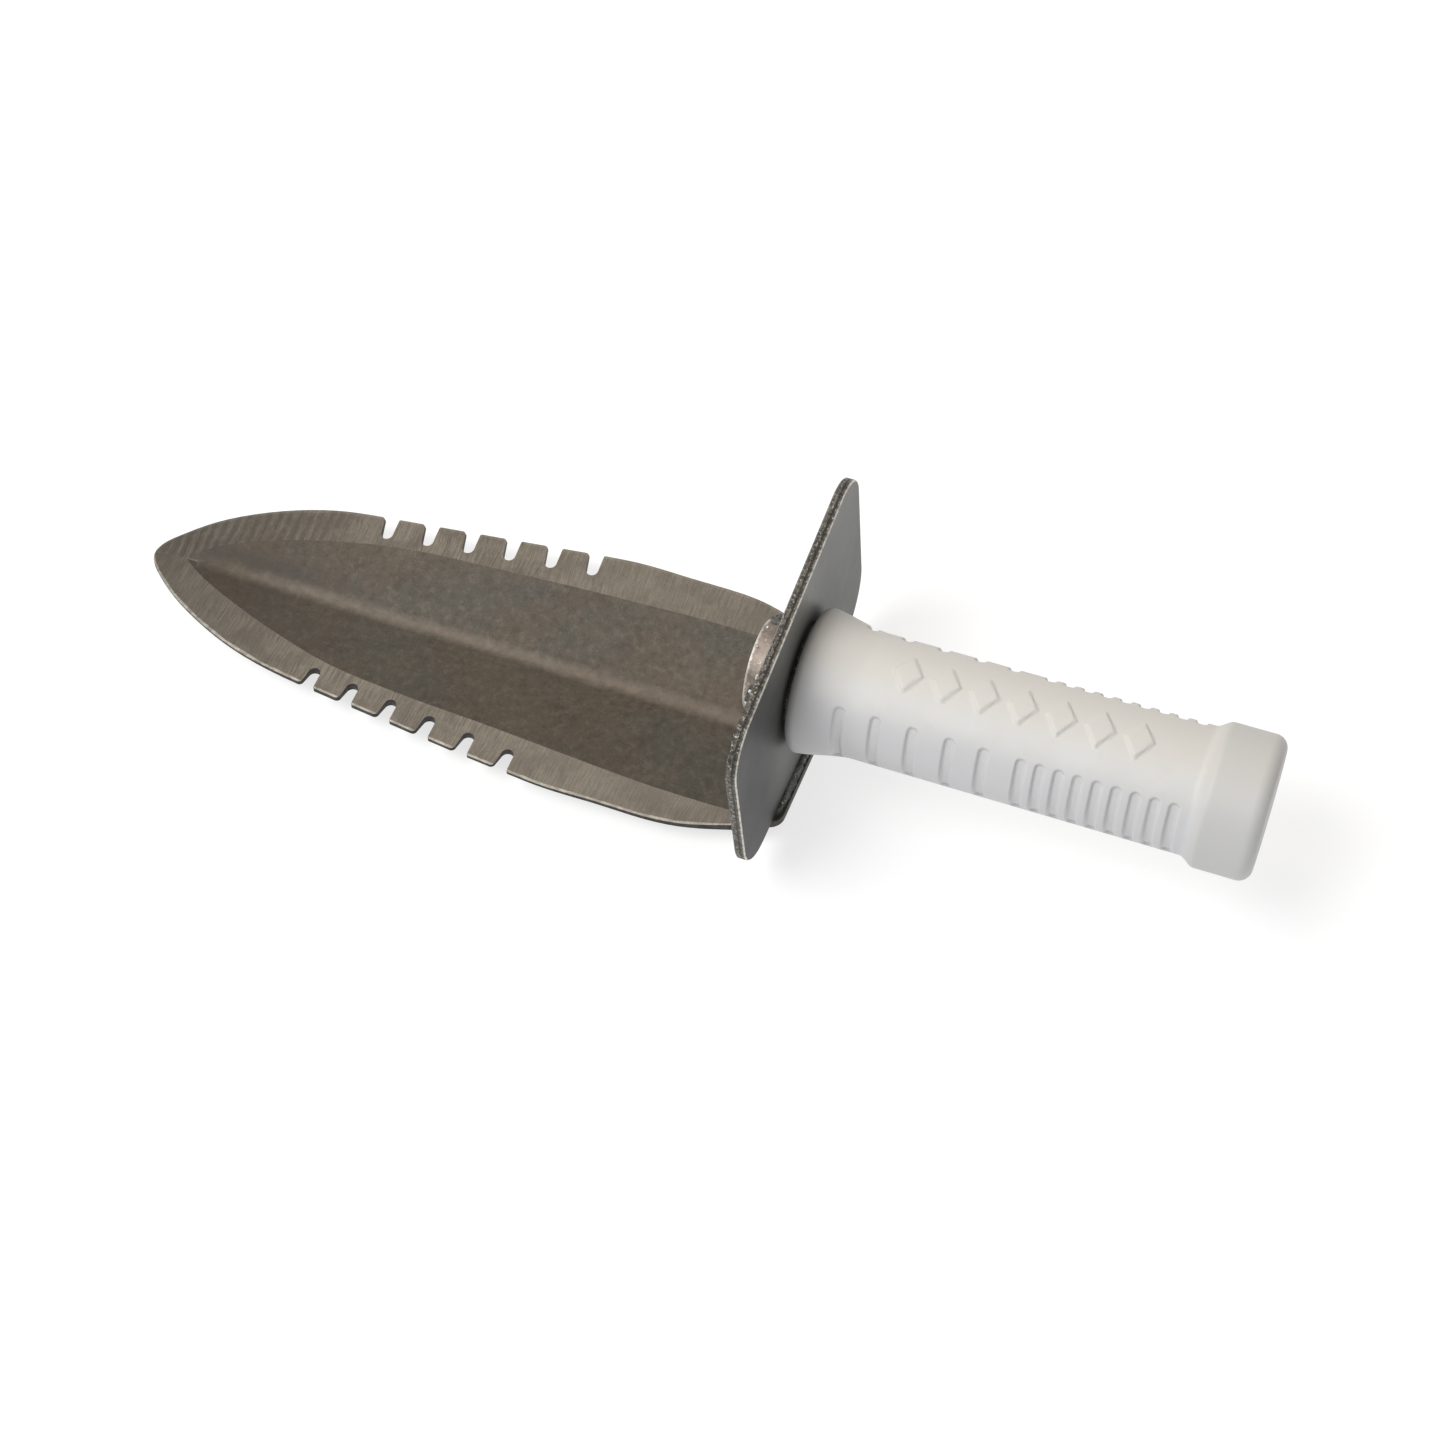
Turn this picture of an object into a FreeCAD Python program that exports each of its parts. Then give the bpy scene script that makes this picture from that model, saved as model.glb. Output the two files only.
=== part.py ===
import FreeCAD, Part

import math
import os

# Hand digging trowel with a cross guard: trough blade, guard plate, handle
# tube, rubber grip and weld beads.  Millimetres, +Z up.  The tool runs along X
# with its tip towards -X and the grip towards +X.  The origin is at the middle
# of the footprint, level with the lowest point of the blade.

# ---- driving dimensions, mm; stations are measured from the guard's back face
TIP_STATION = -204.5
GRIP_END = 126.0
HANDLE_TO_CREASE = 37.0     # handle axis above the crease of the blade
FLANK_ANGLE = 10.6          # slope of each half of the V trough, degrees
BLADE_RISE = 0.7            # the blade climbs this much towards its tip, degrees

SHEET = 3.0                 # blade sheet thickness
BEVEL_SLOPE = 0.19          # fall of the ground rim per mm of rim width
BLADE_REAR = 2.0            # blade passes the guard's back face by this much
REAR_CORNER_R = 4.5
BEND_R = 12.0               # inside radius of the fold
BEND_START = -189.5

NOTCH_COUNT = 6
NOTCH_END_R = 1.8           # round inner end
NOTCH_TAPER = 4.3           # each wall opens outwards by this angle
NOTCH_ROW_ANGLE = 6.3       # the notch rows spread towards the guard, degrees
# Hand cut, so the two rows differ: inner end nearest the tip, and pitch.
NOTCH_ROWS = {1: (-138.8, 22.7, 12.48), -1: (-139.2, 23.65, 12.62)}
NOTCH_TIP_SIDE_R, NOTCH_REAR_SIDE_R = 1.2, 0.5   # rounding of the tooth corners

GUARD_T = 3.0
GUARD_HALF_W = 47.3
GUARD_TOP = 34.5            # above the handle axis
GUARD_TOP_R = 12.0
GUARD_BOTTOM_R = 15.0
GUARD_EDGE = 0.35

TUBE_R = 12.5
TUBE_WALL = 2.0
TUBE_FRONT = -12.5
TUBE_REAR = 119.5

GRIP_FRONT = 1.2
GRIP_R = 17.25
FLARE_R = 19.9
FLARE_END = 16.0
CAP_R = 19.4
CAP_CONE = (107.5, 111.2)
CAP_ROUND = 3.6
COUNTERBORE_R = 16.2
COUNTERBORE_END = 4.4

SLOT_W = 2.5
SLOT_FLOOR_R = 16.3
SLOT_SPAN = (-27.0, 45.0)   # degrees below and above the middle of each side
COARSE_SLOTS = [15.0, 24.8, 34.7, 44.7, 53.8, 63.7]
FINE_COUNT, FINE_PITCH = 8, 5.0

LOZENGE_COUNT = 7
LOZENGE_FIRST, LOZENGE_PITCH = 29.5, 10.2
LOZENGE_L, LOZENGE_W = 8.0, 11.0
LOZENGE_RISE = 0.6

TUBE_BEAD = 4.0
RUN_END = -12.0             # the front weld runs this far along the tube,
RUN_SPAN = (145.0, 412.0)   # over its sides and underside only, degrees
RUN_T = 1.5
BLADE_BEAD = 4.0
REAR_BEAD = 1.9
BEAD_HALF_LEN = 25.0

# Half widths of the blade in plan, +Y side and -Y side: outer edge, and the
# matching point of the line where the hand-ground rim begins.
PLAN = [
    # outer x, +Y, -Y      rim line x, +Y, -Y
    (-204.5, 0.0, 0.0, -193.5, 0.0, 0.0),
    (-203.2, 2.8, 2.8, -191.8, 1.7, 1.3),
    (-199.6, 6.5, 6.4, -187.8, 4.9, 3.8),
    (-191.5, 12.9, 12.4, -180.6, 8.6, 7.3),
    (-181.5, 18.6, 17.9, -172.2, 12.0, 10.7),
    (-169.5, 23.6, 23.0, -162.6, 15.0, 14.2),
    (-155.0, 27.6, 27.0, -150.5, 18.0, 18.0),
    (-140.0, 29.5, 29.4, -137.5, 20.5, 21.3),
    (-122.0, 31.4, 31.6, -121.0, 22.3, 23.4),
    (-105.0, 33.3, 33.7, -105.0, 23.2, 24.6),
    (-90.0, 35.0, 35.5, -90.0, 24.0, 25.3),
    (-75.0, 36.7, 37.0, -75.0, 24.8, 26.3),
    (-64.0, 37.6, 37.9, -64.0, 25.2, 27.1),
    (-48.0, 37.4, 37.8, -48.0, 25.8, 28.2),
    (-35.0, 37.3, 37.9, -35.0, 26.0, 28.9),
    (-25.0, 36.3, 37.0, -25.0, 25.9, 29.0),
    (-15.0, 33.5, 34.4, -15.0, 25.7, 28.9),
    (-6.0, 30.6, 31.4, -6.0, 25.5, 28.4),
    (2.0, 28.6, 29.2, 2.0, 25.2, 27.6),
]

TILT = math.radians(FLANK_ANGLE)
X0 = -(TIP_STATION + GRIP_END) / 2.0
AXIS_Z = HANDLE_TO_CREASE + SHEET / math.cos(TILT) / math.cos(math.radians(BLADE_RISE))
V = FreeCAD.Vector
X_AXIS = V(1, 0, 0)
ON_AXIS = V(0, 0, 0)


def place(shape):
    """Move a shape built about the handle axis and the guard's back face."""
    moved = shape.copy()
    moved.translate(V(X0, 0, AXIS_Z))
    return moved


def spline(points):
    curve = Part.BSplineCurve()
    curve.interpolate(points)
    return curve.toShape()


def leaf(points):
    """Closed wire from one side's points and their mirror."""
    mirrored = [V(p.x, -p.y, p.z) for p in points]
    rear = Part.makeLine(points[-1], mirrored[-1])
    return Part.Wire([spline(points), rear, spline(list(reversed(mirrored)))])


def polygon(points):
    return Part.Face(Part.makePolygon(points + [points[0]]))


def notch_cutter(x, y, heading):
    """Upright wedge with a round inner end at (x, y), opening along heading."""
    r = NOTCH_END_R
    lean = math.radians(NOTCH_TAPER)
    length = 18.0
    u, w = r - r * math.sin(lean), r * math.cos(lean)
    wide = w + length * math.tan(lean)
    wedge = polygon([V(u, -w, 0), V(u + length, -wide, 0), V(u + length, wide, 0), V(u, w, 0)])
    cutter = wedge.extrude(V(0, 0, 10)).fuse(Part.makeCylinder(r, 10, V(r, 0, 0)))
    cutter.rotate(ON_AXIS, V(0, 0, 1), heading)
    cutter.translate(V(x, y, -5))
    return cutter.removeSplitter()


def notch_centres(side):
    """Inner ends of one row, on the flat sheet."""
    x, y, pitch = NOTCH_ROWS[side]
    row = math.radians(NOTCH_ROW_ANGLE)
    return [(x + i * pitch * math.cos(row), (y + i * pitch * math.sin(row)) / math.cos(TILT))
            for i in range(NOTCH_COUNT)]


def flat_leaf(side):
    """Flat sheet with one side's widths, its ground rim and its notches (+Y only)."""
    stretch = 1.0 / math.cos(TILT)
    column = 1 if side > 0 else 2
    inner, rim, foot = [], [], []
    for row in PLAN:
        xo, yo, xi, yi = row[0], row[column], row[3], row[3 + column]
        fall = BEVEL_SLOPE * math.hypot(xo - xi, yo - yi)
        inner.append(V(xi, yi * stretch, 0))
        rim.append(V(xo, yo * stretch, -fall))
        foot.append(V(xo, yo * stretch, -SHEET))
    body = Part.makeLoft([leaf(inner), leaf(rim), leaf(foot)], True, True)
    centres = notch_centres(side)
    for x, y in centres:
        body = body.cut(notch_cutter(x, y, 90.0 + NOTCH_ROW_ANGLE))
    return round_teeth(body, centres)


def round_teeth(body, centres):
    """Round the upright tooth corners, more on the tip side of each notch."""
    soft, crisp = [], []
    for edge in body.Edges:
        box, mid = edge.BoundBox, edge.CenterOfMass
        if box.ZLength < 0.6 or math.hypot(box.XLength, box.YLength) > 0.3:
            continue
        for x, y in centres:
            if mid.y - y > 4.0 and abs(mid.x - (x - 0.7)) < 3.6:
                (soft if mid.x < x - 0.7 else crisp).append(edge)
    body = body.makeFillet(NOTCH_TIP_SIDE_R, soft)
    crisp = [e for e in body.Edges if any(e.CenterOfMass.distanceToPoint(c.CenterOfMass) < 0.01
                                          for c in crisp)]
    return body.makeFillet(NOTCH_REAR_SIDE_R, crisp)


def fold_filler():
    """Sliver that rounds the bottom of the V over to the fold's inside radius."""
    s, c = math.sin(TILT), math.cos(TILT)
    x = BEND_START
    left, right = V(x, -BEND_R * s, BEND_R * s * s / c), V(x, BEND_R * s, BEND_R * s * s / c)
    low = V(x, 0, BEND_R / c - BEND_R)
    under = [Part.makeLine(right, V(x, 0, -0.5)), Part.makeLine(V(x, 0, -0.5), left)]
    face = Part.Face(Part.Wire([Part.Arc(left, low, right).toShape()] + under))
    return face.extrude(V(BLADE_REAR - x, 0, 0))


def blade():
    """Bend the sheet into a V: tilt each flat side and join them at the crease."""
    keep = Part.makeBox(260, 60, 60, V(-230, 0, -30))
    halves = []
    for side in (1, -1):
        half = flat_leaf(side)
        half.rotate(ON_AXIS, X_AXIS, FLANK_ANGLE)
        half = half.common(keep)
        halves.append(half if side > 0 else half.mirror(ON_AXIS, V(0, 1, 0)))
    body = halves[0].fuse([halves[1], fold_filler()]).removeSplitter()
    r = REAR_CORNER_R
    for side in (1, -1):
        w = PLAN[-1][1 if side > 0 else 2]
        corner = Part.makeBox(r + 3, r + 3, 40, V(BLADE_REAR - r, w - r, -20))
        corner = corner.cut(Part.makeCylinder(r, 40, V(BLADE_REAR - r, w - r, -20)))
        if side < 0:
            corner = corner.mirror(ON_AXIS, V(0, 1, 0))
        body = body.cut(corner)
    body.rotate(V(BLADE_REAR, 0, -SHEET / math.cos(TILT)), V(0, 1, 0), BLADE_RISE)
    body.translate(V(0, 0, -HANDLE_TO_CREASE))
    return body


def round_corner(edges_at, shape, radius):
    """Fillet the upright (X-running) edges of a plate near the given points."""
    chosen = []
    for edge in shape.Edges:
        mid = edge.CenterOfMass
        for y, z in edges_at:
            if abs(mid.y - y) < 0.01 and abs(mid.z - z) < 0.01:
                chosen.append(edge)
    return shape.makeFillet(radius, chosen)


def guard(blade_shape):
    w = GUARD_HALF_W
    low = -HANDLE_TO_CREASE + w * math.tan(TILT)
    outline = [V(0, -w, GUARD_TOP), V(0, w, GUARD_TOP), V(0, w, low),
               V(0, 0, -HANDLE_TO_CREASE), V(0, -w, low)]
    plate = polygon(outline).extrude(V(-GUARD_T, 0, 0))
    plate = round_corner([(-w, GUARD_TOP), (w, GUARD_TOP)], plate, GUARD_TOP_R)
    plate = round_corner([(-w, low), (w, low)], plate, GUARD_BOTTOM_R)
    rim = [e for e in plate.Edges
           if e.BoundBox.XLength < 0.01 and e.CenterOfMass.z > -28.0
           or e.BoundBox.XLength < 0.01 and abs(e.CenterOfMass.y) > 35.0]
    plate = plate.makeChamfer(GUARD_EDGE, rim)
    hole = Part.makeCylinder(TUBE_R, 40, V(-20, 0, 0), X_AXIS)
    return plate.cut(hole).cut(blade_shape)


def tube():
    span = TUBE_REAR - TUBE_FRONT
    start = V(TUBE_FRONT, 0, 0)
    outer = Part.makeCylinder(TUBE_R, span, start, X_AXIS)
    return outer.cut(Part.makeCylinder(TUBE_R - TUBE_WALL, span, start, X_AXIS))


def grip_body():
    """Rubber sleeve: flared mouth, straight barrel, coned step and end cap."""
    f = GRIP_FRONT
    top = FLARE_R
    end = GRIP_END
    rnd = CAP_ROUND
    k = rnd * (1.0 - math.sqrt(0.5))
    cone0, cone1 = CAP_CONE
    bore_end = TUBE_REAR

    def p(x, radius):
        return V(x, 0, radius)

    def line(a, b):
        return Part.makeLine(a, b)

    mouth = Part.Arc(p(f, top - 2.6), p(f + 0.75, top - 0.75), p(f + 2.6, top)).toShape()
    flare = Part.BSplineCurve()
    flare.interpolate([p(f + 2.6, top), p(8.4, 19.15), p(11.8, 17.85), p(FLARE_END, GRIP_R)],
                      InitialTangent=V(1, 0, 0), FinalTangent=V(1, 0, 0))
    corner = Part.Arc(p(end - rnd, CAP_R), p(end - k, CAP_R - k), p(end, CAP_R - rnd)).toShape()
    edges = [
        line(p(COUNTERBORE_END, TUBE_R), p(COUNTERBORE_END, COUNTERBORE_R)),
        line(p(COUNTERBORE_END, COUNTERBORE_R), p(f, COUNTERBORE_R)),
        line(p(f, COUNTERBORE_R), p(f, top - 2.6)),
        mouth,
        flare.toShape(),
        line(p(FLARE_END, GRIP_R), p(cone0, GRIP_R)),
        line(p(cone0, GRIP_R), p(cone1, CAP_R)),
        line(p(cone1, CAP_R), p(end - rnd, CAP_R)),
        corner,
        line(p(end, CAP_R - rnd), p(end, 0)),
        line(p(end, 0), p(bore_end, 0)),
        line(p(bore_end, 0), p(bore_end, TUBE_R)),
        line(p(bore_end, TUBE_R), p(COUNTERBORE_END, TUBE_R)),
    ]
    profile = Part.Face(Part.Wire(edges))
    return profile.revolve(ON_AXIS, X_AXIS, 360)


def slot_cutter(x, side):
    """Shallow band across one side of the grip with round ends."""
    r = SLOT_W / 2.0
    reach = 4.0
    round_angle = math.degrees(r / GRIP_R)
    low, high = SLOT_SPAN[0] + round_angle, SLOT_SPAN[1] - round_angle
    section = polygon([V(x - r, SLOT_FLOOR_R, 0), V(x + r, SLOT_FLOOR_R, 0),
                       V(x + r, SLOT_FLOOR_R + reach, 0), V(x - r, SLOT_FLOOR_R + reach, 0)])
    section.rotate(ON_AXIS, X_AXIS, low)
    band = section.revolve(ON_AXIS, X_AXIS, high - low)
    for angle in (low, high):
        a = math.radians(angle)
        out = V(0, math.cos(a), math.sin(a))
        foot = V(x, out.y * SLOT_FLOOR_R, out.z * SLOT_FLOOR_R)
        band = band.fuse(Part.makeCylinder(r, reach, foot, out))
    if side < 0:
        band = band.mirror(ON_AXIS, V(0, 1, 0))
    return band


def slot_stations():
    fine = [COARSE_SLOTS[-1] + (i + 1) * FINE_PITCH for i in range(FINE_COUNT)]
    return COARSE_SLOTS + fine


def lozenges():
    """Plain raised diamonds along the top of the grip."""
    skin = Part.makeCylinder(GRIP_R + LOZENGE_RISE, 100, V(10, 0, 0), X_AXIS)
    skin = skin.cut(Part.makeCylinder(GRIP_R - 0.5, 100, V(10, 0, 0), X_AXIS))
    marks = []
    for i in range(LOZENGE_COUNT):
        x = LOZENGE_FIRST + i * LOZENGE_PITCH
        a, b = LOZENGE_L / 2.0, LOZENGE_W / 2.0
        rhomb = polygon([V(x - a, 0, 10), V(x, b, 10), V(x + a, 0, 10), V(x, -b, 10)])
        marks.append(rhomb.extrude(V(0, 0, 12)).common(skin))
    return marks


def grip():
    body = grip_body()
    cutters = [slot_cutter(x, side) for x in slot_stations() for side in (1, -1)]
    body = body.cut(cutters)
    body = body.fuse(lozenges())
    return body.removeSplitter()


def ring_bead(x, leg, side):
    """Weld fillet round the tube: a convex triangle turned about the axis."""
    a = V(x, 0, TUBE_R)
    b = V(x, 0, TUBE_R + leg)
    c = V(x + side * leg, 0, TUBE_R)
    mid = V(x + side * leg * 0.62, 0, TUBE_R + leg * 0.62)
    edges = [Part.makeLine(c, a), Part.makeLine(a, b), Part.Arc(b, mid, c).toShape()]
    return Part.Face(Part.Wire(edges)).revolve(ON_AXIS, X_AXIS, 360)


def weld_run(x):
    """Weld metal spread along the sides and underside of the tube's stub."""
    inside = TUBE_R
    top = TUBE_R + RUN_T
    section = polygon([V(x, 0, inside), V(RUN_END, 0, inside), V(RUN_END + 0.8, 0, top),
                       V(x - TUBE_BEAD, 0, top + 0.5), V(x, 0, top + 0.5)])
    start, stop = RUN_SPAN
    section.rotate(ON_AXIS, X_AXIS, start - 90.0)
    return section.revolve(ON_AXIS, X_AXIS, stop - start)


def valley_bead(x, radius, keep, others):
    """Weld bead lying in the corner between the guard and both blade flanks."""
    rise = BEAD_HALF_LEN * math.tan(TILT)
    middle = V(x, 0, -HANDLE_TO_CREASE)
    bead = Part.makeSphere(radius, middle)
    for side in (1, -1):
        end = V(x, side * BEAD_HALF_LEN, -HANDLE_TO_CREASE + rise)
        run = end.sub(middle)
        bead = bead.fuse(Part.makeCylinder(radius, run.Length, middle, run))
        bead = bead.fuse(Part.makeSphere(radius, end))
    bead = bead.common(keep)
    for other in others:
        bead = bead.cut(other)
    above = [s for s in bead.Solids if s.CenterOfMass.z > -HANDLE_TO_CREASE - 0.5]
    return max(above, key=lambda s: s.Volume)


def build():
    blade_shape = blade()
    guard_shape = guard(blade_shape)
    front = Part.makeBox(30, 100, 60, V(-30 - GUARD_T, -50, -45))
    rear = Part.makeBox(BLADE_REAR, 100, 60, V(0, -50, -45))
    parts = {
        "blade": blade_shape,
        "guard": guard_shape,
        "handle_tube": tube(),
        "grip": grip(),
        "weld_tube_front": ring_bead(-GUARD_T, TUBE_BEAD, -1).fuse(weld_run(-GUARD_T)),
        "weld_tube_rear": ring_bead(0.0, 3.2, 1),
        "weld_blade_front": valley_bead(-GUARD_T, BLADE_BEAD, front, [blade_shape]),
        "weld_blade_rear": valley_bead(0.0, REAR_BEAD, rear, [blade_shape]),
    }
    os.makedirs("parts", exist_ok=True)
    for name, shape in parts.items():
        shape = place(shape)
        if len(shape.Solids) == 1:
            shape = shape.Solids[0]
        box = shape.BoundBox
        print("%-18s valid %s solids %d vol %.1f  x %.2f %.2f  y %.2f %.2f  z %.2f %.2f" % (
            name, shape.isValid(), len(shape.Solids), shape.Volume,
            box.XMin, box.XMax, box.YMin, box.YMax, box.ZMin, box.ZMax))
        shape.exportStep("parts/%s.step" % name)


build()
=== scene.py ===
import math

import bpy
import numpy as np
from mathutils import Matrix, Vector


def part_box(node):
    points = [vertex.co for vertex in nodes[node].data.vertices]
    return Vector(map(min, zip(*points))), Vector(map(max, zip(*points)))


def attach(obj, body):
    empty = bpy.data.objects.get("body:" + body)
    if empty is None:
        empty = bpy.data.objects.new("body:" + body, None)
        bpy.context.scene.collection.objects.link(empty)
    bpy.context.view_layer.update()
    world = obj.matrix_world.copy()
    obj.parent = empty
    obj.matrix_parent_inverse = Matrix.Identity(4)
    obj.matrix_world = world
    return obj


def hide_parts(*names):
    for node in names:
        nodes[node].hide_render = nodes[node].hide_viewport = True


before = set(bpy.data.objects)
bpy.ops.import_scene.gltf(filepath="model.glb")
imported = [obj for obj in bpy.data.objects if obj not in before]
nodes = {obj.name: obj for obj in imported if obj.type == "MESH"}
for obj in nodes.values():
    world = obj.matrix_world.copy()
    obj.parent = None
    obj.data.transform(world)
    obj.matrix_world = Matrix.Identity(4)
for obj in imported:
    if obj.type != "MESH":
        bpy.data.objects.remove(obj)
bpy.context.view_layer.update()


# ---- places, in metres ------------------------------------------------------
MM = 0.001
TUBE_LO, TUBE_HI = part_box("handle_tube")
AXIS_Z = (TUBE_LO.z + TUBE_HI.z) / 2
BACK_X = float(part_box("weld_tube_rear")[0].x)      # guard's face on the grip side
CREASE_Z = AXIS_Z - 37 * MM                        # trough bottom at the guard

# ---- sizes, in mm and degrees; stations run from the guard's back face ------
GUARD_FRONT = -3.0          # guard's face on the blade side
TUBE_R = 12.5
TILT = math.radians(10.6)   # slope of each half of the blade's trough

GRIP_R = 17.25              # barrel of the grip
FLARE_START, FLARE_LENGTH, FLARE_RISE = 3.8, 15.0, 2.65
CAP_START, CAP_CONE, CAP_RISE = 107.3, 4.2, 2.15
CAP_ROUND = 3.6
GRIP_END = 126.0
MOUTH_ROUND = 2.6
BORE_END, COUNTERBORE_END = 119.5, 4.4

COARSE_SLOTS = np.array([15.0, 24.8, 34.7, 44.7, 53.8, 63.7])
SLOTS = np.concatenate([COARSE_SLOTS, COARSE_SLOTS[-1] + 5.0 * np.arange(1, 9)])
SLOT_HALF_WIDTH, SLOT_DEPTH = 1.25, 0.9
SLOT_LOW, SLOT_HIGH = -27, 45       # ends of a slot, from the middle of its side
DIAMONDS = 29.5 + 10.2 * np.arange(7)
DIAMOND_HALF_LENGTH, DIAMOND_HALF_WIDTH, DIAMOND_HEIGHT = 4.0, 5.5, 0.6
SOFT_EDGE = 0.8                     # width over which slots and diamonds end

# Outer edge of the blade in plan, mm from the guard's back face: stations and
# half widths on the +Y and -Y sides
STATION = [-204.5, -203.2, -199.6, -191.5, -181.5, -169.5, -155, -140, -122, -105,
           -90, -75, -64, -48, -35, -25, -15, -6, 2]
EDGE_FAR = [0.0, 2.8, 6.5, 12.9, 18.6, 23.6, 27.6, 29.5, 31.4, 33.3,
            35.0, 36.7, 37.6, 37.4, 37.3, 36.3, 33.5, 30.6, 28.6]
EDGE_NEAR = [0.0, 2.8, 6.4, 12.4, 17.9, 23.0, 27.0, 29.4, 31.6, 33.7,
             35.5, 37.0, 37.9, 37.8, 37.9, 37.0, 34.4, 31.4, 29.2]
EDGE_TOP = 40.0             # above every half width


# ---- shader maths -----------------------------------------------------------
class Socket:
    """A node output that adds, scales and compares like a number."""

    def __init__(self, kit, socket):
        self.kit, self.socket = kit, socket

    def _math(self, op, a, b=None):
        values = {i: v for i, v in enumerate((a, b)) if v is not None}
        return self.kit.node("ShaderNodeMath", {"operation": op}, values)[0]

    def __add__(self, o): return self._math("ADD", self, o)
    def __radd__(self, o): return self._math("ADD", o, self)
    def __sub__(self, o): return self._math("SUBTRACT", self, o)
    def __rsub__(self, o): return self._math("SUBTRACT", o, self)
    def __mul__(self, o): return self._math("MULTIPLY", self, o)
    def __rmul__(self, o): return self._math("MULTIPLY", o, self)
    def __truediv__(self, o): return self._math("DIVIDE", self, o)
    def __abs__(self): return self._math("ABSOLUTE", self)
    def max(self, o): return self._math("MAXIMUM", self, o)
    def sin(self): return self._math("SINE", self)
    def atan2(self, o): return self._math("ARCTAN2", self, o)
    def sqrt(self): return self._math("SQRT", self)

    def step(self, lo, hi):
        """Smooth ramp: 0 below lo, 1 above hi (or the reverse when lo > hi)."""
        rising = lo < hi
        out = self.kit.node("ShaderNodeMapRange", {"interpolation_type": "SMOOTHSTEP"},
                            {0: self, 1: min(lo, hi), 2: max(lo, hi),
                             3: 0.0 if rising else 1.0, 4: 1.0 if rising else 0.0})
        return out[0]


class Finish:
    """One material being built: its tree, shader and coordinates in mm."""

    def __init__(self, name, **constants):
        self.material = bpy.data.materials.new(name)
        self.material.use_nodes = True
        self.tree = self.material.node_tree
        self.tree.nodes.clear()
        principled = self.node("ShaderNodeBsdfPrincipled")
        self.shader = principled.made
        self.node("ShaderNodeOutputMaterial", {}, {0: principled[0]})
        for key, value in constants.items():
            self.shader.inputs[key.replace("_", " ")].default_value = value
        coordinate = self.node("ShaderNodeTexCoord")
        place = coordinate["Object"]
        flat = self.node("ShaderNodeNewGeometry")["True Normal"]
        facing = self.node("ShaderNodeSeparateXYZ", {}, {0: flat})
        self.nx, self.ny, self.nz = facing[0], facing[1], facing[2]
        self.mm = self.node("ShaderNodeVectorMath", {"operation": "SCALE"},
                            {0: place, "Scale": 1000.0})[0]
        split = self.node("ShaderNodeSeparateXYZ", {}, {0: self.mm})
        self.x = split[0] - BACK_X * 1000
        self.y = split[1]
        self.z = split[2] - AXIS_Z * 1000

    def node(self, kind, settings=None, values=None):
        """Adds a node: its settings first, then its socket values or links."""
        made = self.tree.nodes.new(kind)
        for key, value in (settings or {}).items():
            if key == "points":
                curve = made.mapping.curves[0]
                while len(curve.points) < len(value):
                    curve.points.new(0.5, 0.5)
                for point, at in zip(curve.points, value):
                    point.location = at
                    point.handle_type = "VECTOR"
                made.mapping.update()
            else:
                setattr(made, key, value)
        for key, value in (values or {}).items():
            port = made.inputs[key]
            if isinstance(value, Socket):
                self.tree.links.new(value.socket, port)
            elif value is not None:
                port.default_value = value
        return Outputs(self, made)

    def vector(self, x, y, z):
        return self.node("ShaderNodeCombineXYZ", {}, {0: x, 1: y, 2: z})[0]

    def noise(self, scale, detail, rough, at=None):
        """Noise of about one feature per 1/scale mm, centred on 0.5."""
        out = self.node("ShaderNodeTexNoise", {}, {
            "Vector": at or self.mm, "Scale": scale, "Detail": detail,
            "Roughness": rough})
        return out[0]

    def mix(self, factor, a, b):
        """Colour a where factor is 0, colour b where it is 1."""
        out = self.node("ShaderNodeMix", {"data_type": "RGBA"},
                        {0: factor, 6: self.rgba(a), 7: self.rgba(b)})
        return out[2]

    @staticmethod
    def rgba(colour):
        return colour if isinstance(colour, Socket) else tuple(colour) + (1.0,)

    def curve(self, at, stations, heights, lo, hi):
        """A line through (station, height) read at a position along X."""
        span = stations[-1] - stations[0]
        points = [((s - stations[0]) / span, (h - lo) / (hi - lo))
                  for s, h in zip(stations, heights)]
        t = (at - stations[0]) / span
        out = self.node("ShaderNodeFloatCurve", {"points": points}, {"Value": t})[0]
        return out * (hi - lo) + lo

    def set(self, **links):
        """Feeds the shader's sockets: a link for a Socket, else a constant."""
        for key, value in links.items():
            port = self.shader.inputs[key.replace("_", " ")]
            if isinstance(value, Socket):
                self.tree.links.new(value.socket, port)
            else:
                port.default_value = value
        return self

    def bump(self, height, depth_mm):
        """Relief: height 0..1 stands depth_mm proud."""
        out = self.node("ShaderNodeBump", {}, {
            "Strength": 1.0, "Distance": depth_mm * MM, "Height": height})
        return self.set(Normal=out[0])

    def dress(self, *objects):
        """Makes this the only material of each object."""
        for o in objects:
            o.data.materials.clear()
            o.data.materials.append(self.material)
        return self


class Outputs:
    """A node's outputs, read by name or number as Sockets."""

    def __init__(self, kit, made):
        self.kit, self.made = kit, made

    def __getitem__(self, key):
        return Socket(self.kit, self.made.outputs[key])


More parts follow.
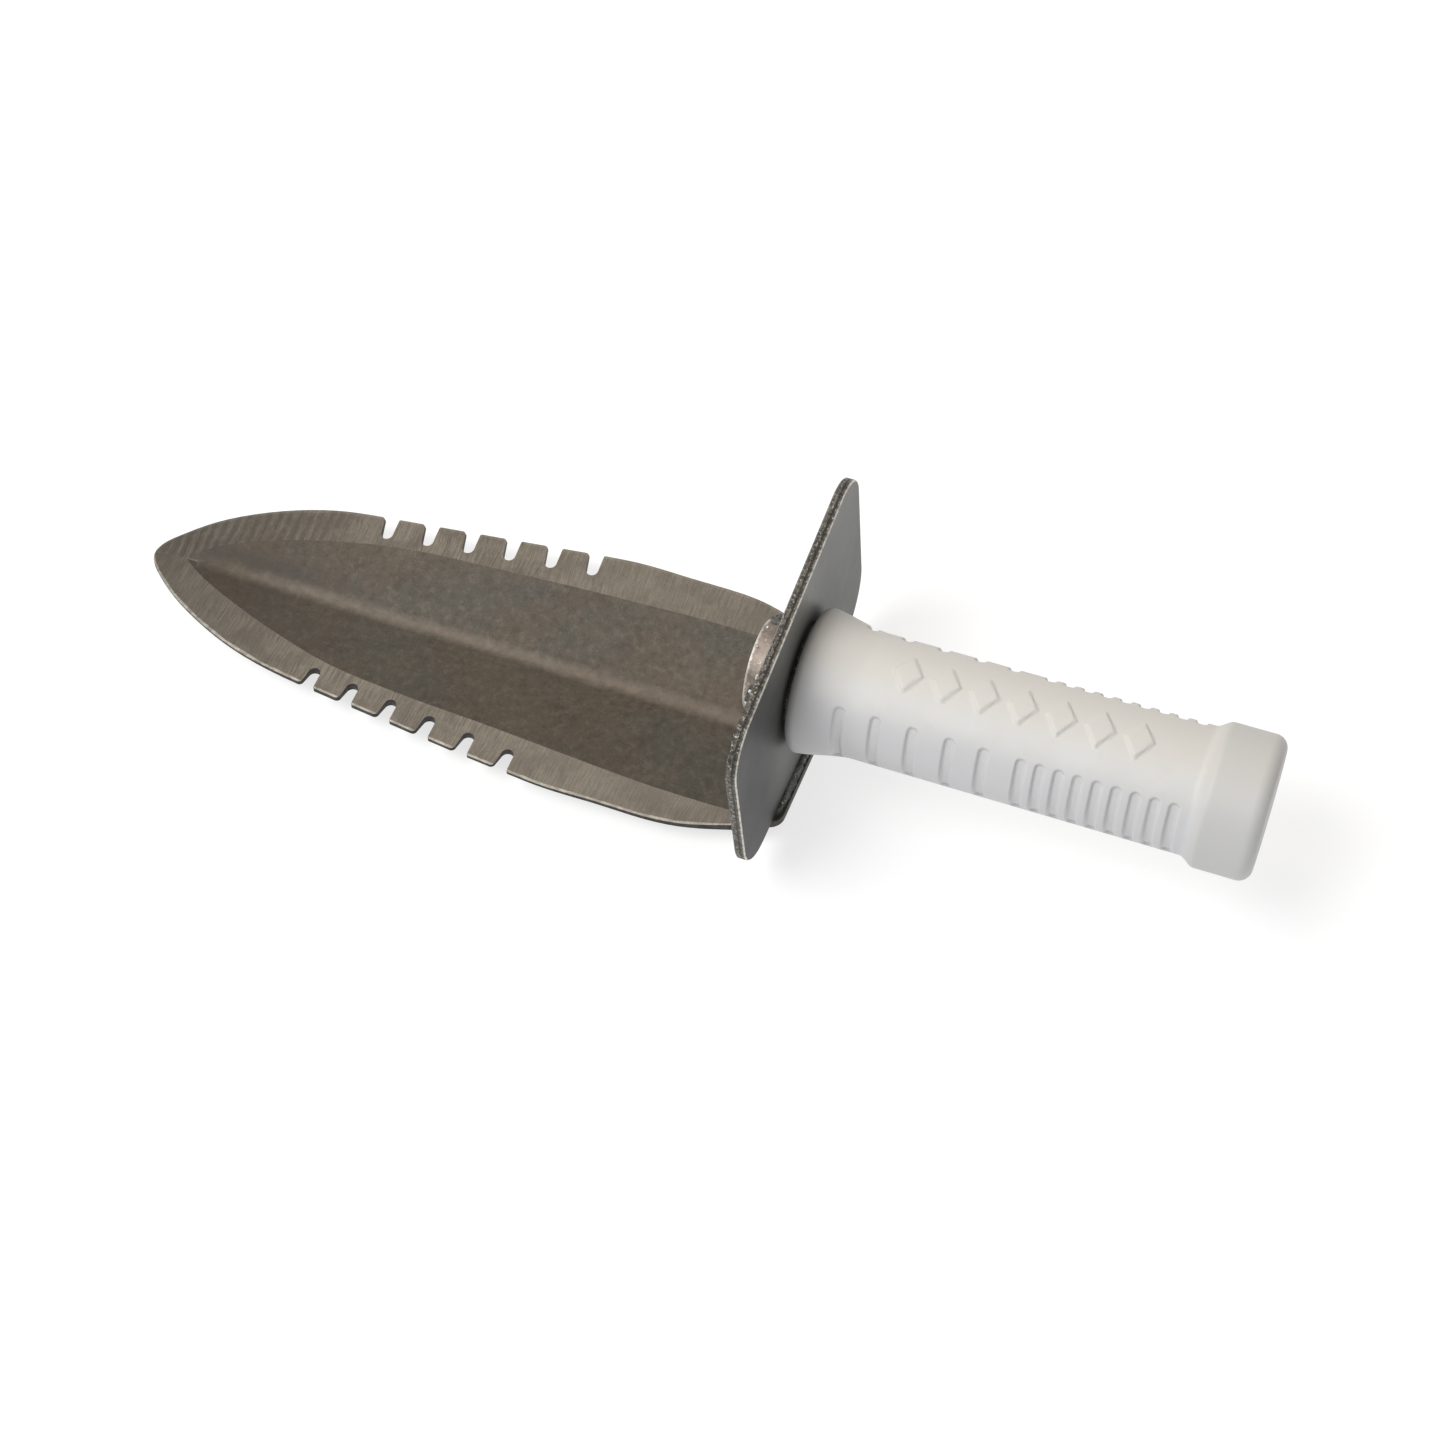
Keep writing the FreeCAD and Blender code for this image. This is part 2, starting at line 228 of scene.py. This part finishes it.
# ---- new surfaces -----------------------------------------------------------
def surface(name, points, wrap_u=False):
    """Mesh over a grid of points, shape (u, v, 3); v always closes on itself.

    Quads join neighbours along both directions; when u does not wrap, its
    first and last rings are closed by a fan to their own middle point.
    """
    nu, nv = points.shape[:2]
    verts = points.reshape(-1, 3)
    rows = np.arange(nu if wrap_u else nu - 1)
    i, j = np.meshgrid(rows, np.arange(nv), indexing="ij")
    i2, j2 = (i + 1) % nu, (j + 1) % nv
    quads = np.stack([i * nv + j, i * nv + j2, i2 * nv + j2, i2 * nv + j], -1).reshape(-1, 4)
    tris = np.zeros((0, 3), int)
    if not wrap_u:
        verts = np.vstack([verts, points[0].mean(0), points[-1].mean(0)])
        ring = np.arange(nv)
        after = (ring + 1) % nv
        first = np.stack([np.full(nv, nu * nv), after, ring], -1)
        base = (nu - 1) * nv
        last = np.stack([np.full(nv, nu * nv + 1), base + ring, base + after], -1)
        tris = np.vstack([first, last])
    mesh = bpy.data.meshes.new(name)
    mesh.vertices.add(len(verts))
    mesh.vertices.foreach_set("co", verts.astype(np.float32).ravel())
    loops = np.concatenate([quads.ravel(), tris.ravel()]).astype(np.int32)
    starts = np.concatenate([np.arange(len(quads)) * 4,
                             len(quads) * 4 + np.arange(len(tris)) * 3])
    mesh.loops.add(len(loops))
    mesh.loops.foreach_set("vertex_index", loops)
    mesh.polygons.add(len(starts))
    mesh.polygons.foreach_set("loop_start", starts.astype(np.int32))
    mesh.update(calc_edges=True)
    mesh.polygons.foreach_set("use_smooth", np.ones(len(starts), bool))
    mesh.validate()
    made = bpy.data.objects.new(name, mesh)
    bpy.context.scene.collection.objects.link(made)
    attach(made, "root")
    return made


def ramp(t):
    """Smooth step of t from 0 to 1."""
    t = np.clip(t, 0, 1)
    return t * t * (3 - 2 * t)


def around_axis(x, r, angle):
    """Points at station x, radius r and angle about the handle's axis."""
    return np.stack([x + 0 * r * angle, r * np.cos(angle), AXIS_Z + r * np.sin(angle)], -1)


def lumps(a, b, seed, waves=14, reach=6.0):
    """Soft random relief, about -1 to 1: a sum of sine waves over a and b."""
    rng = np.random.default_rng(seed)
    total = np.zeros(np.broadcast(a, b).shape)
    for _ in range(waves):
        ka, kb = rng.normal(0, reach, 2)
        total = total + np.sin(np.round(ka) * a + kb * b + rng.uniform(0, 6.28))
    return total / math.sqrt(waves)


def sleeve_radius(x):
    """Outer radius at station x: flare easing to the barrel, cone up to the cap."""
    t = np.clip((x - FLARE_START) / FLARE_LENGTH, 0, 1)
    bell = FLARE_RISE * (1 - t) ** 1.8 * (1 + 1.1 * t)
    return GRIP_R + bell + CAP_RISE * ramp((x - CAP_START) / CAP_CONE)


def grip_profile():
    """Half section of the sleeve, mm from the guard's back face: x and radius.

    Bore, counterbore, quarter-round mouth, then the outside line, a rounded
    corner and the end face.
    """
    quarter = np.linspace(0, math.pi / 2, 9)
    cap_corner = GRIP_END - CAP_ROUND
    edge = np.array([0.8, 1.05, 1.25, 1.45, 1.65, 1.95])
    around = np.concatenate([-edge[::-1], edge])
    x = np.concatenate([np.arange(4.2, cap_corner, 0.56)] + [s + around for s in SLOTS])
    x = np.unique(np.round(x, 2))
    x = x[np.concatenate([[True], np.diff(x) > 0.11])]
    xs = np.concatenate([
        [BORE_END, BORE_END, COUNTERBORE_END, COUNTERBORE_END, 1.35, 1.2, 1.2],
        FLARE_START - MOUTH_ROUND * np.cos(quarter), x,
        cap_corner + CAP_ROUND * np.sin(quarter), [GRIP_END, GRIP_END]])
    rs = np.concatenate([
        [0.4, TUBE_R, TUBE_R, 16.1, 16.2, 16.35, 16.8],
        17.3 + MOUTH_ROUND * np.sin(quarter), sleeve_radius(x),
        15.8 + CAP_ROUND * np.cos(quarter), [9.0, 0.4]])
    return xs, rs


def grip_angles():
    """Angles about the axis, closer together at slot ends and raised marks."""
    steps = np.array([-5.0, -4.2, -3.5, -2.9, -2.3, -1.7, -1.1, -0.5, 0.2, 1.0, 2.0])
    ends = np.radians(np.concatenate([SLOT_HIGH + steps, SLOT_LOW - steps]))
    both = np.concatenate([ends, math.pi - ends]) % (2 * math.pi)
    top = np.radians(np.arange(66, 114.1, 1.3))
    rest = np.radians(np.arange(0, 360, 3.6))
    every = np.unique(np.round(np.concatenate([both, top, rest]), 4))
    return every[np.concatenate([[True], np.diff(every) > math.radians(0.45)])]


def grip_sleeve():
    """Sleeve turned about the axis, its radius lowered in the slots.

    A slot is a capsule laid round each side of the barrel, from SLOT_LOW to
    SLOT_HIGH: its depth falls off smoothly over its edge.  A raised mark is
    a diamond: |x|/a + |arc|/b below 1.
    """
    xs, rs = grip_profile()
    angle = grip_angles()
    x, a = np.meshgrid(xs, angle, indexing="ij")
    r = np.repeat(rs[:, None], len(angle), 1)
    on_barrel = (x > 10.0) & (x < 107.0) & (r > 17.0)
    height = np.arctan2(np.sin(a), np.abs(np.cos(a)))      # 0 at +Y and -Y, up is positive
    middle = math.radians((SLOT_HIGH + SLOT_LOW) / 2)
    half = math.radians((SLOT_HIGH - SLOT_LOW) / 2) * GRIP_R - SLOT_HALF_WIDTH
    along = np.maximum(np.abs(height - middle) * GRIP_R - half, 0)
    dent = np.zeros_like(x)
    for s in SLOTS:
        gap = np.hypot(x - s, along) - SLOT_HALF_WIDTH
        dent = np.maximum(dent, ramp(0.5 - gap / SOFT_EDGE))
    arc_top = np.abs(a - math.pi / 2) * GRIP_R
    rise = np.zeros_like(x)
    for s in DIAMONDS:
        inside = np.abs(x - s) / DIAMOND_HALF_LENGTH + arc_top / DIAMOND_HALF_WIDTH
        rise = np.maximum(rise, ramp(0.35 - (inside - 1) * 3.2 / SOFT_EDGE))
    r = r + on_barrel * (DIAMOND_HEIGHT * rise - SLOT_DEPTH * dent)
    made = surface("grip_sleeve", around_axis(BACK_X + x * MM, r * MM, a))
    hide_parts("grip")
    return made


def ring_weld(name, node, x_mm, side, leg, seed, spread=None):
    """Fillet bead round the tube: a quarter-round section with ripples.

    The section runs from the tube out to the guard.  Its bulge swells and
    shrinks with overlapping ripples round the ring and soft lumps, and where
    the metal was spread along the tube the leg on the tube is longer.
    """
    angle = np.linspace(0, 2 * math.pi, 300, endpoint=False)
    t = np.linspace(0, 1, 26)
    a, u = np.meshgrid(angle, t, indexing="xy")
    bulge = np.sin(u * math.pi)
    rough = 0.10 * lumps(a, u * 3, seed) + 0.07 * lumps(a * 4, u * 9, seed + 1)
    wave = a * 21 + 2.2 * (u - 0.5) ** 2 + 0.6 * lumps(a, u, seed + 2)
    ripple = 0.09 * np.abs(np.sin(wave))
    size = leg * np.clip(0.80 + 0.12 * lumps(a, 0 * a, seed + 3, reach=3.0), 0.55, 0.98)
    reach = size
    if spread:
        long_leg, first, last = spread
        where = np.degrees(a)
        inside = ramp((where - first) / 12) + ramp((last - where) / 12)
        ragged = 0.95 + 0.06 * lumps(a * 3, 0 * a, seed + 4, reach=5.0)
        reach = size + (long_leg * np.clip(ragged, 0.8, 0.995) - size) * np.clip(inside, 0, 1)
    belly = 1.15                                   # above 1 draws the section in
    reach_x = reach * np.cos(u * math.pi / 2) ** belly
    reach_r = size * np.sin(u * math.pi / 2) ** belly
    if spread:
        skin = 1.5 * np.clip(inside, 0, 1) * ramp((1 - u) * 4) * ramp(u * 9)
        reach_r = np.maximum(reach_r, skin * (0.75 + 2 * rough))
    grow = 1 + bulge * (rough + ripple - 0.05)
    x = x_mm + side * np.clip(reach_x * grow, 0, reach * 0.99)
    r = TUBE_R + np.clip(reach_r * grow, 0, leg * 0.99)
    # the hidden sides sink a little into the guard and the tube
    foot = np.full_like(angle, TUBE_R - 0.3)
    x = np.vstack([x, [np.full_like(angle, x_mm - side * 0.3)] * 2, x[:1]])
    r = np.vstack([r, TUBE_R + size[:1] * 0.9, [foot], [foot]])
    a = np.vstack([a, a[:3]])
    if side > 0:
        x, r, a = x[::-1], r[::-1], a[::-1]
    made = surface(name, around_axis(BACK_X + x * MM, r * MM, a), wrap_u=True)
    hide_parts(node)
    return made


def spatter(name, spots, seed):
    """Small balls of thrown metal, each a lumpy squashed sphere at its spot.

    A spot is a station, a radius and an angle about the axis, and the ball's
    own radius, which swells and shrinks with soft lumps.
    """
    v, u = np.meshgrid(np.linspace(0, 2 * math.pi, 18, endpoint=False),
                       np.linspace(0.04, math.pi - 0.04, 10), indexing="xy")
    made = []
    for i, (x, r, degrees, size) in enumerate(spots):
        a = math.radians(degrees)
        swell = size * (1 + 0.12 * lumps(v, u * 2, seed + i, reach=2.0))
        out = r + swell * np.cos(u) * 0.8
        dx, arc = swell * np.sin(u) * np.cos(v), swell * np.sin(u) * np.sin(v)
        made.append(surface("%s_%d" % (name, i + 1),
                            around_axis(BACK_X + (x + dx) * MM, out * MM, a + arc / r)))
    return made


def valley_weld(name, node, x_mm, side, radius, half_length, seed):
    """Bead along the corner between the guard and the two blade flanks.

    A quarter-round section is carried along the bent line y -> |y| tan(tilt);
    it tapers at both ends and swells in ripples along its length.
    """
    y = np.linspace(-half_length, half_length, 300)
    t = np.linspace(0, 1, 16)
    yy, u = np.meshgrid(y, t, indexing="xy")
    taper = np.sqrt(np.clip(1 - (np.abs(yy) / (half_length + 0.01)) ** 8, 0, 1))
    ripple = np.abs(np.sin(yy * 1.25 + 1.5 * (u - 0.5) ** 2))
    grow = 0.84 + 0.06 * lumps(yy * 0.4, u, seed) + 0.07 * ripple
    size = radius * np.clip(grow, 0.5, 0.98) * taper
    floor = CREASE_Z * 1000 + np.hypot(yy, 0.8) * math.tan(TILT)
    x = x_mm + side * size * np.cos(u * math.pi / 2)
    z = floor + size * np.sin(u * math.pi / 2) - 0.05
    # the hidden sides sink a little into the guard and the blade
    x = np.vstack([x, np.full((2, len(y)), x_mm - side * 0.3)])
    z = np.vstack([z, z[-1:], floor[:1] - 0.3])
    yy = np.vstack([yy, yy[:2]])
    points = np.stack([BACK_X + x * MM, yy * MM, z * MM], -1).transpose(1, 0, 2)
    if side > 0:
        points = points[:, ::-1]
    made = surface(name, points)
    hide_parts(node)
    return made


grip = grip_sleeve()
front_ring = ring_weld("stub_weld", "weld_tube_front", GUARD_FRONT, -1, 4.0, 3,
                       spread=(9.3, 137, 62))
balls = spatter("spatter", [
    (-8.9, 12.7, 134, 0.95), (-11.2, 12.6, 66, 0.45), (-8.2, 12.6, 60, 0.4),
    (-11.6, 12.6, 98, 0.4), (-10.2, 13.6, 152, 0.6), (-11.0, 13.4, 172, 0.7)], 30)
rear_ring = ring_weld("hidden_ring_weld", "weld_tube_rear", 0.0, 1, 3.2, 8)
front_seam = valley_weld("blade_seam_front", "weld_blade_front", GUARD_FRONT, -1, 4.0, 28.0, 5)
rear_seam = valley_weld("blade_seam_rear", "weld_blade_rear", 0.0, 1, 1.9, 26.0, 6)


# ---- finishes ---------------------------------------------------------------
def blade_finish():
    """Dull oxidised sheet, blotched brown over grey; hand-ground rims, dark sides."""
    f = Finish("oxidised_blade_steel", Specular_IOR_Level=0.4)
    side = abs(f.y)
    far = f.y.step(-0.5, 0.5)
    edge = (f.curve(f.x, STATION, EDGE_FAR, 0, EDGE_TOP) * far
            + f.curve(f.x, STATION, EDGE_NEAR, 0, EDGE_TOP) * (1 - far))
    # a trough flank leans by TILT towards the middle; anything else that
    # faces up is ground rim, but for the rounded fold
    lean = f.nz * math.cos(TILT) - (far * 2 - 1) * f.ny * math.sin(TILT)
    up = f.nz.step(0.3, 0.6)
    off_fold = side.step(1.6, 3.0).max(f.x.step(-188.9, -189.6))
    in_rim = lean.step(0.9955, 0.9925) * up * off_fold
    wall = abs(f.nz).step(0.55, 0.35)

    patch = f.noise(0.030, 4.0, 0.55)
    blotch = f.noise(0.11, 6.0, 0.66)
    mottle = f.noise(0.42, 5.0, 0.72)
    speck = f.noise(1.15, 4.0, 0.7)
    grain = f.noise(3.6, 3.0, 0.65)
    brown, grey, dark = (0.098, 0.076, 0.055), (0.082, 0.076, 0.061), (0.050, 0.040, 0.030)
    scale = f.mix(patch.step(0.42, 0.60), brown, grey)
    scale = f.mix(blotch.step(0.50, 0.68) * 0.55, scale, (0.140, 0.113, 0.088))
    scale = f.mix(blotch.step(0.47, 0.33) * 0.7, scale, dark)
    scale = f.mix(mottle.step(0.50, 0.66) * 0.50, scale, (0.165, 0.136, 0.108))
    scale = f.mix(mottle.step(0.48, 0.34) * 0.55, scale, dark)
    scale = f.mix(speck.step(0.62, 0.72) * 0.4, scale, (0.034, 0.027, 0.021))
    scale = f.mix(speck.step(0.38, 0.30) * 0.5, scale, (0.20, 0.172, 0.140))
    scale = f.mix(grain.step(0.52, 0.66) * 0.3, scale, (0.050, 0.041, 0.032))
    scale = f.mix(grain.step(0.46, 0.34) * 0.3, scale, (0.160, 0.135, 0.108))
    # an even darkening over the sheet, more towards the tip and less towards the guard; the extra
    # darkening of the near half is painted shade
    tipward_darkening, guardward_paling = f.x.step(-120, -185), f.x.step(-70, -25)
    grime_and_near_shade = 0.17 + (1 - far) * 0.14 + tipward_darkening * 0.32 - guardward_paling * 0.10
    scale = f.mix(grime_and_near_shade, scale, (0.038, 0.029, 0.020))
    # the fold is rubbed paler and also painted lighter as a highlight along the bend, more so
    # away from the tip
    drift = (blotch - 0.5) * 3.0
    fold_rub_and_sheen = abs(f.y - 0.6 + drift).step(3.4, 0.2) * f.x.step(-200, -150) * up
    scale = f.mix(fold_rub_and_sheen * (0.12 + mottle * 0.50), scale, (0.215, 0.175, 0.142))
    shade = abs(f.y - 5.0 + drift).step(4.0, 0.5) * f.x.step(-120, -175) * up
    scale = f.mix(shade * 0.50, scale, (0.040, 0.036, 0.030))

    # ground rim: fine strokes across the blade, coarse chatter near the tip
    run = f.x + side * 0.06 + (blotch - 0.5) * 2.5
    strokes = f.noise(1.0, 4.0, 0.72, at=f.vector(run * 2.6, f.y * 0.10, 0.0))
    chatter = (run * 2.05 + (mottle - 0.5) * 2.2).sin() * 0.5 + 0.5
    tip = f.x.step(-135, -170)
    rim = f.mix(strokes.step(0.34, 0.66), (0.105, 0.091, 0.073), (0.205, 0.182, 0.152))
    rim = f.mix(chatter * tip * (far * 0.55 + 0.12), rim, (0.060, 0.054, 0.045))
    rim = f.mix(blotch.step(0.44, 0.62) * 0.35, rim, (0.105, 0.086, 0.067))
    rim = f.mix(mottle.step(0.52, 0.64) * 0.30, rim, (0.215, 0.190, 0.158))
    rim = f.mix(speck.step(0.60, 0.70) * 0.55, rim, (0.050, 0.041, 0.032))
    rim = f.mix(tip * 0.40, rim, (0.068, 0.063, 0.053))
    rim = f.mix(f.x.step(-110, -60) * 0.25, rim, (0.205, 0.182, 0.150))
    nick = f.noise(0.9, 4.0, 0.7)
    # bright line along the near outer edges: partly a ground burr, partly a painted highlight
    # where the edge catches the light
    burr = (side - edge + nick * 0.5).step(-0.20, 0.05) * in_rim * (1 - far * 0.85)
    rim = f.mix(burr * (0.30 + mottle.step(0.40, 0.60) * 0.35), rim, (0.55, 0.52, 0.46))

    cut = f.mix(mottle.step(0.4, 0.6), (0.020, 0.020, 0.019), (0.055, 0.052, 0.047))
    colour = f.mix(in_rim, scale, rim)
    colour = f.mix(wall, colour, cut)
    rough = 0.56 + (blotch - 0.5) * 0.3 - fold_rub_and_sheen * 0.08
    rough = rough + in_rim * (strokes * 0.14 - 0.12)
    f.set(Base_Color=colour, Roughness=rough, Metallic=0.35 + in_rim * 0.25)
    # relief: pits and scale on the sheet, strokes and chatter on the rim
    sheet = (speck * 0.30 + mottle * 0.45 + grain * 0.14) * (1 - in_rim)
    ground = in_rim * (strokes * 0.55 + speck * 0.2 + chatter * tip * far * 0.30)
    return f.bump(sheet + ground, 0.12)


def guard_finish():
    """Dark satin plate with painted light and shade across its back face; sheared edge rough in
    front with a bright burr behind, partly a painted highlight.
    """
    f = Finish("sheared_guard_plate", Specular_IOR_Level=0.45)
    on_edge = abs(f.nx).step(0.55, 0.35)
    burr_and_highlight_lip = f.nx.step(0.45, 0.6) * f.nx.step(0.93, 0.85)
    front_lip = f.nx.step(-0.45, -0.6) * f.nx.step(-0.93, -0.85)
    cloud = f.noise(0.045, 5.0, 0.6)
    smudge = f.noise(0.16, 5.0, 0.65)
    fine = f.noise(2.2, 4.0, 0.7)
    roll = f.noise(1.0, 4.0, 0.65, at=f.vector(f.x, f.y * 1.6, f.z * 0.10))
    face = f.mix(cloud.step(0.38, 0.64), (0.058, 0.060, 0.055), (0.092, 0.093, 0.087))
    face = f.mix(smudge.step(0.52, 0.68) * 0.35, face, (0.125, 0.124, 0.115))
    face = f.mix(roll.step(0.52, 0.70) * 0.28, face, (0.135, 0.135, 0.128))
    face = f.mix(fine.step(0.60, 0.72) * 0.35, face, (0.035, 0.035, 0.032))
    # painted light and shade on the back face: paler towards the top of the far end, much darker
    # at the near end, and lifted round the grip where its shadow falls
    face = f.mix(f.z.step(-4, 30) * f.y.step(-10, 40) * 0.5, face, (0.175, 0.172, 0.162))
    face = f.mix(f.y.step(-16, -34) * 0.92, face, (0.018, 0.019, 0.018))
    face = f.mix(abs(f.y + 2).step(24, 8) * f.z.step(-30, -6) * 0.5, face, (0.21, 0.205, 0.190))
    tear = f.noise(0.7, 5.0, 0.75)
    grit = f.noise(1.3, 4.0, 0.75)
    edge = f.mix(tear.step(0.44, 0.58), (0.045, 0.040, 0.032), (0.150, 0.135, 0.112))
    edge = f.mix(grit.step(0.57, 0.63) * 0.85, edge, (0.62, 0.59, 0.54))
    seam = f.x.step(-1.55, -1.30) * f.x.step(-0.75, -1.00)
    edge = f.mix(seam * 0.85, edge, (0.025, 0.023, 0.020))
    colour = f.mix(on_edge, face, edge)
    colour = f.mix(front_lip * grit.step(0.50, 0.62) * 0.7, colour, (0.42, 0.40, 0.37))
    # the bright lip along the back edge is partly a real burr and partly a painted highlight
    colour = f.mix(burr_and_highlight_lip * (0.40 + tear.step(0.38, 0.54) * 0.45), colour, (0.86, 0.83, 0.74))
    rough = 0.46 + (cloud - 0.5) * 0.2 + on_edge * (tear * 0.3 - 0.1)
    f.set(Base_Color=colour, Roughness=rough, Metallic=0.3)
    relief = fine * 0.12 + roll * 0.14 + on_edge * (tear * 1.3 + grit * 0.5 - seam * 0.8)
    return f.bump(relief, 0.18)


def tube_finish():
    """Pale brown-grey tube, faint draw lines, bright torn rim at its cut end."""
    f = Finish("cut_tube_steel", Specular_IOR_Level=0.5)
    arc = f.y.atan2(f.z) * TUBE_R
    draw = f.noise(1.0, 4.0, 0.7, at=f.vector(f.x * 0.25, arc * 1.8, 0.0))
    cloud = f.noise(0.38, 5.0, 0.7)
    speck = f.noise(2.4, 4.0, 0.7)
    colour = f.mix(cloud.step(0.36, 0.64), (0.215, 0.172, 0.140), (0.335, 0.285, 0.240))
    colour = f.mix(draw.step(0.55, 0.72) * 0.3, colour, (0.44, 0.39, 0.34))
    colour = f.mix(speck.step(0.60, 0.70) * 0.5, colour, (0.17, 0.135, 0.105))
    burr = f.noise(0.8, 4.0, 0.7)
    cut = (f.x + burr * 2.4 - 1.2).step(-11.9, -12.2)
    colour = f.mix(cut * 0.8, colour, (0.62, 0.59, 0.54))
    colour = f.mix(burr.step(0.62, 0.68) * 0.7, colour, (0.66, 0.64, 0.60))
    f.set(Base_Color=colour, Roughness=0.46 + (cloud - 0.5) * 0.25, Metallic=0.35)
    return f.bump(draw * 0.35 + cloud * 0.6 + speck * 0.25, 0.12)


def weld_finish():
    """Burnt weld metal: near black, bluish-grey bloom, rust and bright spatter."""
    f = Finish("burnt_weld_metal", Specular_IOR_Level=0.5)
    cloud = f.noise(0.42, 5.0, 0.7)
    grit = f.noise(1.8, 4.0, 0.72)
    spark = f.noise(1.1, 3.0, 0.65)
    colour = f.mix(cloud.step(0.36, 0.62), (0.060, 0.056, 0.048), (0.155, 0.165, 0.160))
    colour = f.mix(grit.step(0.52, 0.64) * 0.6, colour, (0.13, 0.095, 0.065))
    colour = f.mix(spark.step(0.62, 0.68) * 0.9, colour, (0.70, 0.70, 0.69))
    f.set(Base_Color=colour, Roughness=0.34 + grit * 0.4, Metallic=0.45)
    return f.bump(grit * 0.7 + cloud * 0.5, 0.35)


def spatter_finish():
    """Bright bluish-white balls with a darker scorched skin in patches."""
    f = Finish("bright_weld_spatter", Specular_IOR_Level=0.5)
    skin = f.noise(1.3, 4.0, 0.7)
    colour = f.mix(skin.step(0.50, 0.64), (0.62, 0.64, 0.63), (0.26, 0.25, 0.23))
    f.set(Base_Color=colour, Roughness=0.30 + skin * 0.3, Metallic=0.3)
    return f.bump(skin, 0.15)


def grip_finish():
    """Matt off-white moulded rubber, faintly mottled, dust in the grooves; painted warm light on
    top and cool shade on the near flank.
    """
    f = Finish("offwhite_grip_rubber", Specular_IOR_Level=0.35)
    mottle = f.noise(0.07, 4.0, 0.6)
    skin = f.noise(2.8, 3.0, 0.6)
    dirt = f.noise(0.9, 5.0, 0.75)
    scuff = f.noise(0.25, 5.0, 0.7)
    radius = (f.y * f.y + f.z * f.z).sqrt()
    barrel = f.x.step(8, 11) * f.x.step(107, 106)
    groove = radius.step(17.12, 16.5) * barrel
    colour = f.mix(mottle.step(0.3, 0.7), (0.632, 0.628, 0.617), (0.670, 0.667, 0.658))
    # painted light and shade: warmer on top of the far side, cooler on the near flank
    colour = f.mix(f.y.step(-11, 1) * f.z.step(-8, 6) * 0.95, colour, (0.632, 0.604, 0.560))
    colour = f.mix(f.y.step(-9, -15) * 0.8, colour, (0.590, 0.594, 0.612))
    colour = f.mix(f.x.step(106.5, 111) * 0.55, colour, (0.510, 0.502, 0.490))
    colour = f.mix(scuff.step(0.56, 0.74) * 0.15, colour, (0.56, 0.53, 0.49))
    colour = f.mix(groove * scuff * 0.16, colour, (0.46, 0.44, 0.41))
    colour = f.mix(dirt.step(0.70, 0.76) * 0.5, colour, (0.33, 0.29, 0.24))
    mouth = f.x.step(7.0, 1.2)
    colour = f.mix(mouth * 0.30 * (0.5 + scuff), colour, (0.42, 0.38, 0.34))
    f.set(Base_Color=colour, Roughness=0.52 + (mottle - 0.5) * 0.2 + (skin - 0.5) * 0.1)
    return f.bump(skin * 0.5 + scuff * 0.5, 0.05)


blade_finish().dress(nodes["blade"])
guard_finish().dress(nodes["guard"])
tube_finish().dress(nodes["handle_tube"])
weld_finish().dress(front_ring, rear_ring, front_seam, rear_seam)
spatter_finish().dress(*balls)
grip_finish().dress(grip)


# ---- floor, light, camera ---------------------------------------------------
def pale_floor():
    """A large flat square at the foot of the tool."""
    side = 3.0
    drop = -0.0006              # just under the blade's fold
    corners = [(-side, -side, drop), (side, -side, drop), (side, side, drop), (-side, side, drop)]
    mesh = bpy.data.meshes.new("pale_floor")
    mesh.from_pydata(corners, [], [(0, 1, 2, 3)])
    floor = bpy.data.objects.new("pale_floor", mesh)
    bpy.context.scene.collection.objects.link(floor)
    paint = Finish("lit_white_table", Specular_IOR_Level=0.0, Roughness=1.0,
                   Base_Color=(0.36, 0.36, 0.36, 1.0), Emission_Color=(1.0, 1.0, 1.0, 1.0),
                   Emission_Strength=0.70)
    paint.dress(floor)


def soft_box(name, place, aim, size, power, tint):
    """Square area light at a place, turned to face a point."""
    light = bpy.data.lights.new(name, "AREA")
    light.shape = "RECTANGLE"
    light.size = light.size_y = size
    light.energy = power
    light.color = tint
    lamp = bpy.data.objects.new(name, light)
    lamp.location = place
    lamp.rotation_euler = (Vector(aim) - Vector(place)).to_track_quat("-Z", "Y").to_euler()
    bpy.context.scene.collection.objects.link(lamp)


def studio():
    """White surroundings and two soft boxes; colours shown as they are."""
    scene = bpy.context.scene
    world = bpy.data.worlds.new("white_studio")
    world.use_nodes = True
    back = world.node_tree.nodes["Background"]
    back.inputs["Color"].default_value = (1.0, 1.0, 1.0, 1.0)
    back.inputs["Strength"].default_value = 0.36
    scene.world = world
    soft_box("key", (-0.58, -0.48, 1.45), (0, 0, 0), 0.8, 19.0, (1.0, 1.0, 0.995))
    soft_box("far_fill", (-0.55, 0.66, 1.25), (-0.06, 0, 0), 0.6, 5.5, (1.0, 0.92, 0.83))
    scene.view_settings.view_transform = "Standard"
    scene.view_settings.look = "None"


def camera():
    """The eye, above the near side and looking down past the grip."""
    data = bpy.data.cameras.new("view")
    data.lens = 65.32
    data.sensor_width = 36.0
    data.shift_x, data.shift_y = 0.0058, -0.0175
    data.clip_start, data.clip_end = 0.05, 20.0
    eye = bpy.data.objects.new("view", data)
    eye.location = (0.17833, -0.32412, 0.64012)
    eye.rotation_euler = [math.radians(d) for d in (29.982, 3.832, 20.534)]
    bpy.context.scene.collection.objects.link(eye)
    bpy.context.scene.camera = eye


pale_floor()
studio()
camera()
